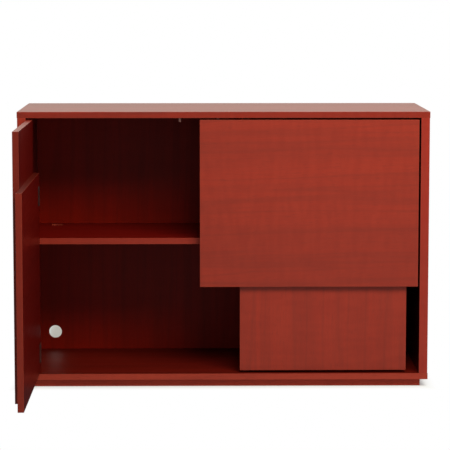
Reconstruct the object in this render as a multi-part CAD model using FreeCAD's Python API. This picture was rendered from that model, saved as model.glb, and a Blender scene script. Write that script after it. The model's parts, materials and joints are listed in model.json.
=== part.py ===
"""Two-door sideboard on a low plinth, built as separate boards and fittings.

Millimetres. X runs along the front from left to right, Y from front to back, Z up.
The origin is on the floor, under the middle of the cabinet, on the underside of the
plinth's middle rail. The right door is shut. The left door stands open.
"""
import FreeCAD, Part
import os
from FreeCAD import Vector

# Cabinet body
width = 1200.0
depth = 450.0
height = 810.0
top_thickness = 18.0
bottom_thickness = 18.0
side_thickness = 25.0
side_set_in = 1.0
arris = 0.7
cut_overrun = 2.0

# Plinth
plinth_height = 22.0
plinth_inset = 20.0
plinth_thickness = 18.0
corner_block_size = 40.0
plinth_screws_per_rail = 4
plinth_screw_end_distance = 60.0
plinth_screw_sink = 5.0
plinth_screw_bite = 12.0

# Back panel, held in grooves
back_thickness = 8.0
back_recess = 5.0
groove_depth = 8.0
groove_clearance = 0.2

# Doors
door_board_thickness = 17.0
lap_clearance = 1.0
door_gap = 5.5
door_bottom_gap = 7.0
door_meeting_gap = 5.0
right_upper_width = 638.0
right_upper_height = 489.0
right_lower_width = 489.0
right_lower_inset = 32.0
rear_board_height = 585.0
left_door_rest_angle = 90.0

# Inside
divider_thickness = 18.0
divider_past_seam = 9.5
fitting_out_setback = 40.0
shelf_thickness = 18.0
shelf_height_above_floor = 397.0
shelf_side_clearance = 0.5
shelf_back_clearance = 1.0
cable_hole_radius = 20.0
back_hole_from_side = 51.0
back_hole_from_floor = 54.0
shelf_hole_from_side = 64.0
shelf_hole_from_back = 49.0

# Shelf pins
pin_radius = 2.5
pin_collar_radius = 4.0
pin_collar_thickness = 1.5
pin_hole_web = 2.0
pin_reach = 9.0
pin_edge_distance = 50.0
pin_seat_clearance = 0.1
pin_fit_clearance = 0.05

# Dowels
dowel_radius = 4.0
dowel_length = 30.0
dowel_depth_in_board = 11.0
dowel_clearance = 0.05
dowel_end_clearance = 0.5
dowel_chamfer = 1.0
dowels_per_joint = 3
dowel_edge_distance = 60.0
door_dowel_length = 20.0
door_dowel_edge_distance = 70.0
door_dowel_columns = 3
door_dowel_rows = 2

# Hinges: distances are from the side's inner face and from the cabinet's front plane
pivot_inset = 11.0
pivot_depth = 8.6
hinge_from_bottom = 58.0
hinge_from_top = 66.0
hinge_pin_radius = 2.0
hinge_pin_clearance = 0.05
hinge_knuckle_radius = 4.0
hinge_knuckle_clearance = 0.4
hinge_cup_floor = 0.3
hinge_cup_width = 21.0
hinge_cup_height = 40.0
hinge_cup_edge_gap = 0.5
mortise_clearance = 0.2
hinge_flange_height = 56.0
hinge_flange_thickness = 1.5
hinge_flange_corner = 4.0
left_flange_width = 44.0
flange_to_board_clearance = 2.0
flange_screw_edge_distance = 5.0
hinge_arm_height = 12.0
hinge_arm_thickness = 6.0
hinge_arm_elbow_depth = 43.0
hinge_arm_back_depth = 102.0
hinge_plate_thickness = 3.0
hinge_plate_height = 40.0
hinge_plate_front_depth = 46.0
hinge_plate_back_depth = 106.0
hinge_plate_screw_front_setback = 12.0
hinge_plate_screw_height = 13.0
hinge_arm_screw_setback = 10.0
hinge_plate_corner = 4.0
plate_to_shelf_clearance = 4.0

# Touch latches under the top
latch_from_door_edge = 53.0
latch_to_divider_clearance = 4.0
latch_width = 7.0
latch_height = 13.0
latch_length = 60.0
latch_front_gap = 6.0
latch_edge_radius = 0.8
latch_bore_radius = 2.25
latch_end_wall = 2.5
latch_screw_side_gap = 0.4
latch_ear_length = 12.0
latch_ear_thickness = 2.5
latch_ear_setback = 4.0
plunger_clearance = 0.05
plunger_tip_gap = 0.3
plunger_travel = 3.0
plunger_head_width = 6.0
plunger_head_height = 10.0
plunger_stem_length = 24.0
plunger_head_clearance = 0.2
spring_wire_radius = 0.3
spring_outer_radius = 1.9
spring_turns = 9
spring_end_clearance = 0.1

# Screws
screw_shank_radius = 2.0
screw_head_radius = 3.6
screw_head_height = 1.8
screw_head_edge = 0.7
screw_recess_width = 0.9
screw_recess_length = 4.2
screw_recess_depth = 1.0
screw_tip_length = 3.0
screw_clearance = 0.05
hinge_screw_length = 12.0
plate_screw_length = 16.0
arm_screw_length = 12.0
latch_screw_length = 14.0

# Places worked out from the sizes above
front_y = -depth / 2
rear_y = depth / 2
side_outer_x = width / 2 - side_set_in
side_inner_x = side_outer_x - side_thickness
carcass_bottom_z = plinth_height
inner_floor_z = carcass_bottom_z + bottom_thickness
inner_ceiling_z = height - top_thickness
back_rear_y = rear_y - back_recess
back_front_y = back_rear_y - back_thickness

door_edge_x = side_inner_x - door_gap
door_bottom_z = inner_floor_z + door_bottom_gap
door_top_z = inner_ceiling_z - door_gap
layer_y = front_y + door_board_thickness
right_layer_y = layer_y - lap_clearance
right_upper_left_x = door_edge_x - right_upper_width
right_upper_bottom_z = door_top_z - right_upper_height
right_lower_right_x = door_edge_x - right_lower_inset
right_lower_left_x = right_lower_right_x - right_lower_width
rear_board_top_z = door_bottom_z + rear_board_height
left_front_right_x = right_upper_left_x - door_meeting_gap
left_rear_right_x = right_lower_left_x - door_meeting_gap

divider_left_x = right_lower_left_x + divider_past_seam
divider_right_x = divider_left_x + divider_thickness
divider_middle_x = (divider_left_x + divider_right_x) / 2
inside_front_y = front_y + fitting_out_setback
shelf_top_z = inner_floor_z + shelf_height_above_floor
shelf_bottom_z = shelf_top_z - shelf_thickness
shelf_back_y = back_front_y - shelf_back_clearance
pin_z = shelf_bottom_z - pin_radius - pin_seat_clearance
pin_hole_depth = (divider_thickness - pin_hole_web) / 2
pin_ys = [inside_front_y + pin_edge_distance, shelf_back_y - pin_edge_distance]

plinth_x = side_outer_x - plinth_inset
plinth_front_y = front_y + plinth_inset
plinth_rear_y = rear_y - plinth_inset
plinth_inner_x = plinth_x - plinth_thickness
plinth_inner_front_y = plinth_front_y + plinth_thickness
plinth_inner_rear_y = plinth_rear_y - plinth_thickness

pivot_x = side_inner_x - pivot_inset
pivot_y = front_y + pivot_depth
left_back_depth = 2 * door_board_thickness
right_back_depth = door_board_thickness - lap_clearance
left_hinge_zs = [door_bottom_z + hinge_from_bottom, rear_board_top_z - hinge_from_top]
right_flange_width = right_lower_inset - hinge_cup_edge_gap - flange_to_board_clearance
right_low_hinge_z = right_upper_bottom_z + hinge_from_bottom
plate_under_shelf_z = pin_z - pin_collar_radius - plate_to_shelf_clearance - hinge_plate_height / 2
plate_over_shelf_z = shelf_top_z + plate_to_shelf_clearance + hinge_plate_height / 2
if plate_under_shelf_z < right_low_hinge_z < plate_over_shelf_z:
    right_low_hinge_z = plate_over_shelf_z
right_hinge_zs = [right_low_hinge_z, door_top_z - hinge_from_top]
hinge_cup_front_depth = pivot_depth - hinge_knuckle_radius - hinge_cup_floor
hinge_cup_inset = door_gap + hinge_cup_edge_gap

latch_z = inner_ceiling_z - latch_height / 2
latch_left_x = left_front_right_x - latch_from_door_edge
latch_right_x = right_upper_left_x + latch_from_door_edge
latch_screw_reach = latch_width / 2 + screw_head_radius + latch_screw_side_gap
latch_ear_reach = latch_screw_reach + screw_head_radius + latch_screw_side_gap
latch_divider_reach = latch_ear_reach + divider_thickness / 2 + latch_to_divider_clearance
if abs(latch_right_x - divider_middle_x) < latch_divider_reach:
    latch_right_x = divider_middle_x - latch_divider_reach

across = Vector(1, 0, 0)
backward = Vector(0, 1, 0)
upward = Vector(0, 0, 1)


def box(x0, x1, y0, y1, z0, z1):
    """Return a plain block between two corners."""
    return Part.makeBox(x1 - x0, y1 - y0, z1 - z0, Vector(x0, y0, z0))


def board(x0, x1, y0, y1, z0, z1):
    """Return a board with its sharp edges eased."""
    block = box(x0, x1, y0, y1, z0, z1)
    return block.makeFillet(arris, block.Edges)


def cylinder(start, direction, radius, length):
    """Return a round bar that starts at a point and runs along a direction."""
    return Part.makeCylinder(radius, length, start, direction)


def mirrored(shape):
    """Return the shape as it stands on the other side of the cabinet's middle."""
    return shape.mirror(Vector(0, 0, 0), across)


def evenly(low, high, count):
    """Return evenly spaced places from low to high, both ends included."""
    step = (high - low) / (count - 1)
    return [low + step * index for index in range(count)]


def save(name, solids):
    """Write one piece, or one group of like pieces, to its own file."""
    shape = solids[0] if len(solids) == 1 else Part.makeCompound(solids)
    shape.exportStep("parts/" + name + ".step")


def screw(seat, direction, length):
    """Return a pan-head screw whose head rests on the seat."""
    head = cylinder(seat, -direction, screw_head_radius, screw_head_height)
    crown = [edge for edge in head.Edges
             if edge.BoundBox.Center.sub(seat).dot(direction) < -screw_head_height / 2
             and len(edge.Vertexes) == 1]
    head = head.makeFillet(screw_head_edge, crown)
    thread = cylinder(seat, direction, screw_shank_radius, length - screw_tip_length)
    tip_base = seat + direction * (length - screw_tip_length)
    tip = Part.makeCone(screw_shank_radius, screw_shank_radius / 4, screw_tip_length, tip_base, direction)
    body = head.fuse([thread, tip]).removeSplitter()
    return body.cut(cross_recess(seat - direction * screw_head_height, direction))


def cross_recess(top, direction):
    """Return the cross that the driver fits, cut down from the head's top."""
    bars = []
    for length, breadth in ((screw_recess_length, screw_recess_width),
                            (screw_recess_width, screw_recess_length)):
        bar = box(-length / 2, length / 2, -breadth / 2, breadth / 2, -cut_overrun, screw_recess_depth)
        bars.append(bar)
    cross = bars[0].fuse(bars[1])
    cross.Placement = FreeCAD.Placement(top, FreeCAD.Rotation(upward, direction))
    return cross


def pilot_hole(seat, direction, length):
    """Return the hole that a screw's shank runs in."""
    start = seat - direction * cut_overrun
    return cylinder(start, direction, screw_shank_radius + screw_clearance,
                    cut_overrun + length + screw_clearance)


def dowel(middle, direction, length):
    """Return a wooden dowel with chamfered ends."""
    bar = cylinder(middle - direction * (length / 2), direction, dowel_radius, length)
    rims = [edge for edge in bar.Edges if len(edge.Vertexes) == 1]
    return bar.makeChamfer(dowel_chamfer, rims)


def dowel_hole(middle, direction, length):
    """Return the hole for a dowel, a little wider and deeper than the dowel."""
    full = length + 2 * dowel_end_clearance
    return cylinder(middle - direction * (full / 2), direction, dowel_radius + dowel_clearance, full)


def carcass_dowel_places():
    """Return the middles of the upright dowels that join sides and divider to top and bottom."""
    side_middle_x = (side_outer_x + side_inner_x) / 2
    shift = dowel_length / 2 - dowel_depth_in_board
    places = []
    for x, y_low in ((-side_middle_x, front_y), (side_middle_x, front_y), (divider_middle_x, inside_front_y)):
        for y in evenly(y_low + dowel_edge_distance, back_front_y - dowel_edge_distance, dowels_per_joint):
            places.append(Vector(x, y, inner_floor_z + shift))
            places.append(Vector(x, y, inner_ceiling_z - shift))
    return places


def left_door_dowel_places():
    """Return the middles of the dowels between the left door's two boards, door shut."""
    columns = evenly(-door_edge_x + door_dowel_edge_distance,
                     left_front_right_x - door_dowel_edge_distance, door_dowel_columns)
    rows = evenly(door_bottom_z + door_dowel_edge_distance,
                  rear_board_top_z - door_dowel_edge_distance, door_dowel_rows)
    return [Vector(x, layer_y, z) for x in columns for z in rows]


def right_door_dowel_places():
    """Return the middles of the dowels between the right door's two boards."""
    columns = evenly(right_lower_left_x + door_dowel_edge_distance,
                     right_lower_right_x - door_dowel_edge_distance, door_dowel_columns)
    rows = evenly(right_upper_bottom_z + door_dowel_edge_distance,
                  rear_board_top_z - door_dowel_edge_distance, door_dowel_rows)
    return [Vector(x, right_layer_y, z) for x in columns for z in rows]


def back_groove():
    """Return the slot, cut into all four boards, that the back panel slides in."""
    reach_x = side_inner_x + groove_depth
    return box(-reach_x, reach_x, back_front_y - groove_clearance, back_rear_y + groove_clearance,
               inner_floor_z - groove_depth, inner_ceiling_z + groove_depth)


def top_and_bottom(dowel_holes, screws_in_bottom, screws_in_top):
    """Return the top board and the bottom board."""
    half = width / 2
    top = board(-half, half, front_y, rear_y, inner_ceiling_z, height)
    bottom = board(-half, half, front_y, rear_y, carcass_bottom_z, inner_floor_z)
    top = top.cut(dowel_holes + screws_in_top + [back_groove()])
    bottom = bottom.cut(dowel_holes + screws_in_bottom + [back_groove()])
    return top, bottom


def pin_holes(wall_x, direction):
    """Return the two blind holes for shelf pins in one wall."""
    holes = []
    for y in pin_ys:
        mouth = Vector(wall_x, y, pin_z)
        start = mouth - direction * pin_hole_depth
        holes.append(cylinder(start, direction, pin_radius + pin_fit_clearance, pin_hole_depth + cut_overrun))
    return holes


def shelf_pin(mouth, direction):
    """Return a metal shelf pin that stands out of a wall along a direction."""
    back = mouth - direction * (pin_hole_depth - pin_fit_clearance)
    bar = cylinder(back, direction, pin_radius, pin_hole_depth - pin_fit_clearance + pin_reach)
    collar = cylinder(mouth, direction, pin_collar_radius, pin_collar_thickness)
    lift = pin_collar_radius - pin_radius
    flat = box(-width, width, -depth, depth, mouth.z + pin_radius, mouth.z + pin_radius + lift + cut_overrun)
    return bar.fuse(collar).removeSplitter().cut(flat)


def shelf_pins():
    """Return the eight pins, four in each bay."""
    walls = ((-side_inner_x, across), (divider_left_x, -across),
             (divider_right_x, across), (side_inner_x, -across))
    return [shelf_pin(Vector(x, y, pin_z), direction) for x, direction in walls for y in pin_ys]


def side_board(dowel_holes, hinge_zs):
    """Return the left-hand side board, or the one to mirror for the right."""
    panel = board(-side_outer_x, -side_inner_x, front_y, rear_y, inner_floor_z, inner_ceiling_z)
    cuts = dowel_holes + pin_holes(-side_inner_x, across) + [back_groove()]
    for z in hinge_zs:
        for seat in plate_screw_seats(z):
            cuts.append(pilot_hole(seat, -across, plate_screw_length))
        cuts.append(pilot_hole(arm_screw_seat(z), -across, arm_screw_length))
    return panel.cut(cuts)


def divider_board(dowel_holes):
    """Return the upright board between the two bays."""
    panel = board(divider_left_x, divider_right_x, inside_front_y, back_front_y, inner_floor_z, inner_ceiling_z)
    return panel.cut(dowel_holes + pin_holes(divider_left_x, -across) + pin_holes(divider_right_x, across))


def shelf(x0, x1):
    """Return a loose shelf between two walls."""
    return board(x0 + shelf_side_clearance, x1 - shelf_side_clearance,
                 inside_front_y, shelf_back_y, shelf_bottom_z, shelf_top_z)


def left_shelf():
    """Return the left shelf with its cable hole."""
    centre = Vector(-side_inner_x + shelf_hole_from_side, back_front_y - shelf_hole_from_back,
                    shelf_bottom_z - cut_overrun)
    hole = cylinder(centre, upward, cable_hole_radius, shelf_thickness + 2 * cut_overrun)
    return shelf(-side_inner_x, divider_left_x).cut(hole)


def back_panel():
    """Return the back panel with its cable hole."""
    reach = groove_depth - groove_clearance
    panel = board(-side_inner_x - reach, side_inner_x + reach, back_front_y, back_rear_y,
                  inner_floor_z - reach, inner_ceiling_z + reach)
    centre = Vector(-side_inner_x + back_hole_from_side, back_front_y - cut_overrun,
                    inner_floor_z + back_hole_from_floor)
    return panel.cut(cylinder(centre, backward, cable_hole_radius, back_thickness + 2 * cut_overrun))


def plinth_screw_seats():
    """Return where the plinth screws' heads sit, in holes bored up from the rails' undersides."""
    front_mid_y = (plinth_front_y + plinth_inner_front_y) / 2
    rear_mid_y = (plinth_rear_y + plinth_inner_rear_y) / 2
    side_mid_x = (plinth_x + plinth_inner_x) / 2
    reach_x = plinth_inner_x - plinth_screw_end_distance
    reach_y = plinth_inner_rear_y - plinth_screw_end_distance
    places = [(x, y) for y in (front_mid_y, rear_mid_y) for x in evenly(-reach_x, reach_x, plinth_screws_per_rail)]
    places += [(x, y) for x in (-side_mid_x, 0, side_mid_x) for y in (-reach_y, reach_y)]
    return [Vector(x, y, plinth_screw_sink) for x, y in places]


def plinth_screw_length():
    """Return how long a plinth screw is, from its head's seat to its tip."""
    return plinth_height - plinth_screw_sink + plinth_screw_bite


def plinth_rails():
    """Return the plinth's five rails by name."""
    sunk_radius = screw_head_radius + screw_clearance
    cuts = []
    for seat in plinth_screw_seats():
        cuts.append(pilot_hole(seat, upward, plinth_screw_length()))
        cuts.append(cylinder(Vector(seat.x, seat.y, -cut_overrun), upward, sunk_radius,
                             plinth_screw_sink + cut_overrun))
    half = plinth_thickness / 2
    spans = {
        "plinth_front_rail": (-plinth_x, plinth_x, plinth_front_y, plinth_inner_front_y),
        "plinth_back_rail": (-plinth_x, plinth_x, plinth_inner_rear_y, plinth_rear_y),
        "plinth_left_rail": (-plinth_x, -plinth_inner_x, plinth_inner_front_y, plinth_inner_rear_y),
        "plinth_right_rail": (plinth_inner_x, plinth_x, plinth_inner_front_y, plinth_inner_rear_y),
        "plinth_middle_rail": (-half, half, plinth_inner_front_y, plinth_inner_rear_y),
    }
    return {name: board(*span, 0, plinth_height).cut(cuts) for name, span in spans.items()}


def corner_blocks():
    """Return the four glue blocks inside the plinth's corners."""
    blocks = []
    for side in (-1, 1):
        for end_y, inward in ((plinth_inner_front_y, 1), (plinth_inner_rear_y, -1)):
            corner_x = side * plinth_inner_x
            along_x = corner_x - side * corner_block_size
            along_y = end_y + inward * corner_block_size
            low = plinth_height - plinth_thickness
            outline = [Vector(corner_x, end_y, low), Vector(along_x, end_y, low), Vector(corner_x, along_y, low)]
            face = Part.Face(Part.makePolygon(outline + outline[:1]))
            blocks.append(face.extrude(upward * plinth_thickness))
    return blocks


def hinge_point(inset, depth_in, z):
    """Return a point given by its distance from the left side's inner face and the front plane."""
    return Vector(-side_inner_x + inset, front_y + depth_in, z)


def hinge_box(inset0, inset1, depth0, depth1, z0, z1):
    """Return a block given in the hinge's own distances."""
    low = hinge_point(inset0, depth0, z0)
    high = hinge_point(inset1, depth1, z1)
    return box(low.x, high.x, low.y, high.y, low.z, high.z)


def rounded_along(block, direction, radius):
    """Return the block with its edges along one direction rounded."""
    edges = [edge for edge in block.Edges if abs(edge.tangentAt(edge.FirstParameter).dot(direction)) > 0.99]
    return block.makeFillet(radius, edges)


def mortise(z, back_depth):
    """Return the pocket in a door's hinge edge that takes a hinge cup."""
    half = hinge_cup_height / 2 + mortise_clearance
    return hinge_box(door_gap - cut_overrun, hinge_cup_inset + hinge_cup_width + mortise_clearance,
                     hinge_cup_front_depth - mortise_clearance, back_depth + cut_overrun, z - half, z + half)


def flange_screw_seats(z, back_depth, flange_width):
    """Return where the two screws of a hinge cup's flange sit."""
    inset = hinge_cup_inset + flange_width - flange_screw_edge_distance
    reach = hinge_flange_height / 2 - flange_screw_edge_distance
    depth_in = back_depth + hinge_flange_thickness
    return [hinge_point(inset, depth_in, z - reach), hinge_point(inset, depth_in, z + reach)]


def hinge_cup(z, back_depth, flange_width):
    """Return the half of a hinge that is let into the door: a forked body and its flange."""
    half = hinge_cup_height / 2
    body = hinge_box(hinge_cup_inset, hinge_cup_inset + hinge_cup_width, hinge_cup_front_depth, back_depth,
                     z - half, z + half)
    reach = hinge_flange_height / 2
    flange = hinge_box(hinge_cup_inset, hinge_cup_inset + flange_width, back_depth,
                       back_depth + hinge_flange_thickness, z - reach, z + reach)
    flange = rounded_along(flange, backward, hinge_flange_corner)
    slot_half = hinge_arm_height / 2 + hinge_knuckle_clearance
    slot_inset = pivot_inset + hinge_knuckle_radius + hinge_knuckle_clearance
    slot = hinge_box(0, slot_inset, 0, back_depth + hinge_flange_thickness + cut_overrun, z - slot_half, z + slot_half)
    cuts = [slot, cylinder(hinge_point(pivot_inset, pivot_depth, z - half - cut_overrun), upward,
                           hinge_pin_radius, hinge_cup_height + 2 * cut_overrun)]
    for seat in flange_screw_seats(z, back_depth, flange_width):
        cuts.append(pilot_hole(seat, -backward, hinge_screw_length))
    return body.fuse(flange).removeSplitter().cut(cuts)


def hinge_pin(z):
    """Return the steel pin that the door turns on."""
    return cylinder(hinge_point(pivot_inset, pivot_depth, z - hinge_cup_height / 2), upward,
                    hinge_pin_radius, hinge_cup_height)


def arm_screw_seat(z):
    """Return where the screw that holds an arm down on its plate sits."""
    return hinge_point(hinge_plate_thickness + hinge_arm_thickness, hinge_arm_back_depth - hinge_arm_screw_setback, z)


def hinge_arm(z):
    """Return the cranked arm that reaches from its plate on the side board to the pin."""
    half = hinge_arm_thickness / 2
    near, far = pivot_inset - half, pivot_inset + half
    low, high = hinge_plate_thickness, hinge_plate_thickness + hinge_arm_thickness
    crank = near - low
    base_z = z - hinge_arm_height / 2
    corners = [(near, pivot_depth), (near, hinge_arm_elbow_depth), (low, hinge_arm_elbow_depth + crank),
               (low, hinge_arm_back_depth), (high, hinge_arm_back_depth), (high, hinge_arm_elbow_depth + 2 * crank),
               (far, hinge_arm_elbow_depth + crank), (far, pivot_depth)]
    outline = [hinge_point(inset, depth_in, base_z) for inset, depth_in in corners]
    bar = Part.Face(Part.makePolygon(outline + outline[:1])).extrude(upward * hinge_arm_height)
    centre = hinge_point(pivot_inset, pivot_depth, base_z)
    knuckle = cylinder(centre, upward, hinge_knuckle_radius, hinge_arm_height)
    eye = cylinder(centre - upward * cut_overrun, upward, hinge_pin_radius + hinge_pin_clearance,
                   hinge_arm_height + 2 * cut_overrun)
    return bar.fuse(knuckle).removeSplitter().cut([eye, pilot_hole(arm_screw_seat(z), -across, arm_screw_length)])


def plate_screw_seats(z):
    """Return where a hinge plate's two screws sit."""
    depth_in = hinge_plate_front_depth + hinge_plate_screw_front_setback
    return [hinge_point(hinge_plate_thickness, depth_in, z - hinge_plate_screw_height),
            hinge_point(hinge_plate_thickness, depth_in, z + hinge_plate_screw_height)]


def hinge_plate(z):
    """Return the plate screwed to the side board under a hinge arm."""
    half = hinge_plate_height / 2
    plate = hinge_box(0, hinge_plate_thickness, hinge_plate_front_depth, hinge_plate_back_depth, z - half, z + half)
    plate = rounded_along(plate, across, hinge_plate_corner)
    cuts = [pilot_hole(seat, -across, plate_screw_length) for seat in plate_screw_seats(z)]
    cuts.append(pilot_hole(arm_screw_seat(z), -across, arm_screw_length))
    return plate.cut(cuts)


def hinge_set(zs, back_depth, flange_width):
    """Return the pieces of one door's hinges, as they stand on the left with the door shut."""
    return {
        "cups": [hinge_cup(z, back_depth, flange_width) for z in zs],
        "pins": [hinge_pin(z) for z in zs],
        "arms": [hinge_arm(z) for z in zs],
        "plates": [hinge_plate(z) for z in zs],
        "cup_screws": [screw(seat, -backward, hinge_screw_length)
                       for z in zs for seat in flange_screw_seats(z, back_depth, flange_width)],
        "plate_screws": [screw(seat, -across, plate_screw_length) for z in zs for seat in plate_screw_seats(z)],
        "arm_screws": [screw(arm_screw_seat(z), -across, arm_screw_length) for z in zs],
    }


def door_cuts(zs, back_depth, flange_width):
    """Return the mortises and screw holes that a door's hinges need, on the left with the door shut."""
    cuts = [mortise(z, back_depth) for z in zs]
    for z in zs:
        for seat in flange_screw_seats(z, back_depth, flange_width):
            cuts.append(pilot_hole(seat, -backward, hinge_screw_length))
    return cuts


def opened(shape):
    """Return a piece of the left door turned from shut to where the door stands."""
    turned = shape.copy()
    turned.rotate(Vector(-pivot_x, pivot_y, 0), upward, -left_door_rest_angle)
    return turned


def left_door_boards():
    """Return the left door's front board and its wider rear board, door shut."""
    cuts = [dowel_hole(place, backward, door_dowel_length) for place in left_door_dowel_places()]
    cuts += door_cuts(left_hinge_zs, left_back_depth, left_flange_width)
    front = board(-door_edge_x, left_front_right_x, front_y, layer_y, door_bottom_z, door_top_z)
    rear = board(-door_edge_x, left_rear_right_x, layer_y, layer_y + door_board_thickness,
                 door_bottom_z, rear_board_top_z)
    return front.cut(cuts), rear.cut(cuts)


def right_door_boards():
    """Return the right door's upper board, flush with the cabinet, and its lower board behind it."""
    dowel_cuts = [dowel_hole(place, backward, door_dowel_length) for place in right_door_dowel_places()]
    hinge_cuts = [mirrored(cut) for cut in door_cuts(right_hinge_zs, right_back_depth, right_flange_width)]
    upper = board(right_upper_left_x, door_edge_x, front_y, right_layer_y, right_upper_bottom_z, door_top_z)
    lower = board(right_lower_left_x, right_lower_right_x, right_layer_y, right_layer_y + door_board_thickness,
                  door_bottom_z, rear_board_top_z)
    return upper.cut(dowel_cuts + hinge_cuts), lower.cut(dowel_cuts)


def latch_body_front(door_back_y):
    """Return where a latch body starts, behind a shut door's back."""
    return door_back_y + latch_front_gap


def latch_screw_seats(x, door_back_y):
    """Return where the two screws through a latch's ears sit."""
    y = latch_body_front(door_back_y) + latch_length - latch_ear_setback - latch_ear_length / 2
    z = inner_ceiling_z - latch_ear_thickness
    return [Vector(x - latch_screw_reach, y, z), Vector(x + latch_screw_reach, y, z)]


def latch_body(x, door_back_y):
    """Return a touch latch's case: a slim bar with a bore and two screw ears."""
    y0 = latch_body_front(door_back_y)
    y1 = y0 + latch_length
    half = latch_width / 2
    case = box(x - half, x + half, y0, y1, inner_ceiling_z - latch_height, inner_ceiling_z)
    case = rounded_along(case, backward, latch_edge_radius)
    ears = box(x - latch_ear_reach, x + latch_ear_reach, y1 - latch_ear_setback - latch_ear_length,
               y1 - latch_ear_setback, inner_ceiling_z - latch_ear_thickness, inner_ceiling_z)
    bore = cylinder(Vector(x, y0 - cut_overrun, latch_z), backward, latch_bore_radius,
                    latch_length - latch_end_wall + cut_overrun)
    cuts = [bore] + [pilot_hole(seat, upward, latch_screw_length) for seat in latch_screw_seats(x, door_back_y)]
    return case.fuse(ears).removeSplitter().cut(cuts)


def plunger_head_length():
    """Return how thick a plunger's head is, so that its full travel ends just before the case."""
    return latch_front_gap - plunger_tip_gap - plunger_travel - plunger_head_clearance


def latch_plunger(x, door_back_y):
    """Return the plunger that a shut door rests against and that springs it open."""
    tip_y = door_back_y + plunger_tip_gap
    neck_y = tip_y + plunger_head_length()
    half_width = plunger_head_width / 2
    half_height = plunger_head_height / 2
    head = box(x - half_width, x + half_width, tip_y, neck_y, latch_z - half_height, latch_z + half_height)
    head = rounded_along(head, backward, latch_edge_radius)
    stem = cylinder(Vector(x, neck_y, latch_z), backward, latch_bore_radius - plunger_clearance, plunger_stem_length)
    return head.fuse(stem).removeSplitter()


def latch_spring(x, door_back_y):
    """Return the coil spring between a plunger's stem and the end of the bore."""
    start_y = door_back_y + plunger_tip_gap + plunger_head_length() + plunger_stem_length
    end_y = latch_body_front(door_back_y) + latch_length - latch_end_wall
    run = end_y - start_y - 2 * (spring_wire_radius + spring_end_clearance)
    coil_radius = spring_outer_radius - spring_wire_radius
    helix = Part.makeHelix(run / spring_turns, run, coil_radius)
    section = Part.Wire(Part.makeCircle(spring_wire_radius, Vector(coil_radius, 0, 0), backward))
    coil = Part.Wire(helix.Edges).makePipeShell([section], True, True)
    coil.Placement = FreeCAD.Placement(
        Vector(x, start_y + spring_wire_radius + spring_end_clearance, latch_z),
        FreeCAD.Rotation(upward, backward))
    return coil


def main():
    """Build every piece and write it to the parts folder."""
    os.makedirs("parts", exist_ok=True)

    carcass_holes = [dowel_hole(place, upward, dowel_length) for place in carcass_dowel_places()]
    plinth_holes = [pilot_hole(seat, upward, plinth_screw_length()) for seat in plinth_screw_seats()]
    left_door_back_y = layer_y
    right_door_back_y = right_layer_y
    latches = {"left": (latch_left_x, left_door_back_y), "right": (latch_right_x, right_door_back_y)}
    latch_seats = [seat for x, y in latches.values() for seat in latch_screw_seats(x, y)]
    latch_holes = [pilot_hole(seat, upward, latch_screw_length) for seat in latch_seats]

    top, bottom = top_and_bottom(carcass_holes, plinth_holes, latch_holes)
    save("top_board", [top])
    save("bottom_board", [bottom])
    save("left_side", [side_board(carcass_holes, left_hinge_zs)])
    save("right_side", [mirrored(side_board([mirrored(hole) for hole in carcass_holes], right_hinge_zs))])
    save("back_panel", [back_panel()])
    save("divider", [divider_board(carcass_holes)])
    save("left_shelf", [left_shelf()])
    save("right_shelf", [shelf(divider_right_x, side_inner_x)])
    save("shelf_pins", shelf_pins())
    save("carcass_dowels", [dowel(place, upward, dowel_length) for place in carcass_dowel_places()])

    for name, rail in plinth_rails().items():
        save(name, [rail])
    save("plinth_corner_blocks", corner_blocks())
    save("plinth_screws", [screw(seat, upward, plinth_screw_length()) for seat in plinth_screw_seats()])

    front, rear = left_door_boards()
    save("left_door_front_board", [opened(front)])
    save("left_door_rear_board", [opened(rear)])
    save("left_door_dowels", [opened(dowel(place, backward, door_dowel_length))
                              for place in left_door_dowel_places()])
    upper, lower = right_door_boards()
    save("right_door_upper_board", [upper])
    save("right_door_lower_board", [lower])
    save("right_door_dowels", [dowel(place, backward, door_dowel_length) for place in right_door_dowel_places()])

    left = hinge_set(left_hinge_zs, left_back_depth, left_flange_width)
    right = hinge_set(right_hinge_zs, right_back_depth, right_flange_width)
    for piece in ("cups", "pins", "cup_screws"):
        save("left_hinge_" + piece, [opened(solid) for solid in left[piece]])
        save("right_hinge_" + piece, [mirrored(solid) for solid in right[piece]])
    for piece in ("arms", "plates", "plate_screws", "arm_screws"):
        save("left_hinge_" + piece, left[piece])
        save("right_hinge_" + piece, [mirrored(solid) for solid in right[piece]])

    for name, (x, door_back_y) in latches.items():
        save(name + "_latch_case", [latch_body(x, door_back_y)])
        save(name + "_latch_plunger", [latch_plunger(x, door_back_y)])
        save(name + "_latch_spring", [latch_spring(x, door_back_y)])
    save("latch_screws", [screw(seat, upward, latch_screw_length) for seat in latch_seats])


main()
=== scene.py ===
"""Looks of the sideboard with layered doors: its finishes, and the studio it is pictured in."""
import json
import logging
import math
from dataclasses import dataclass, field
from enum import Enum

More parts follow.
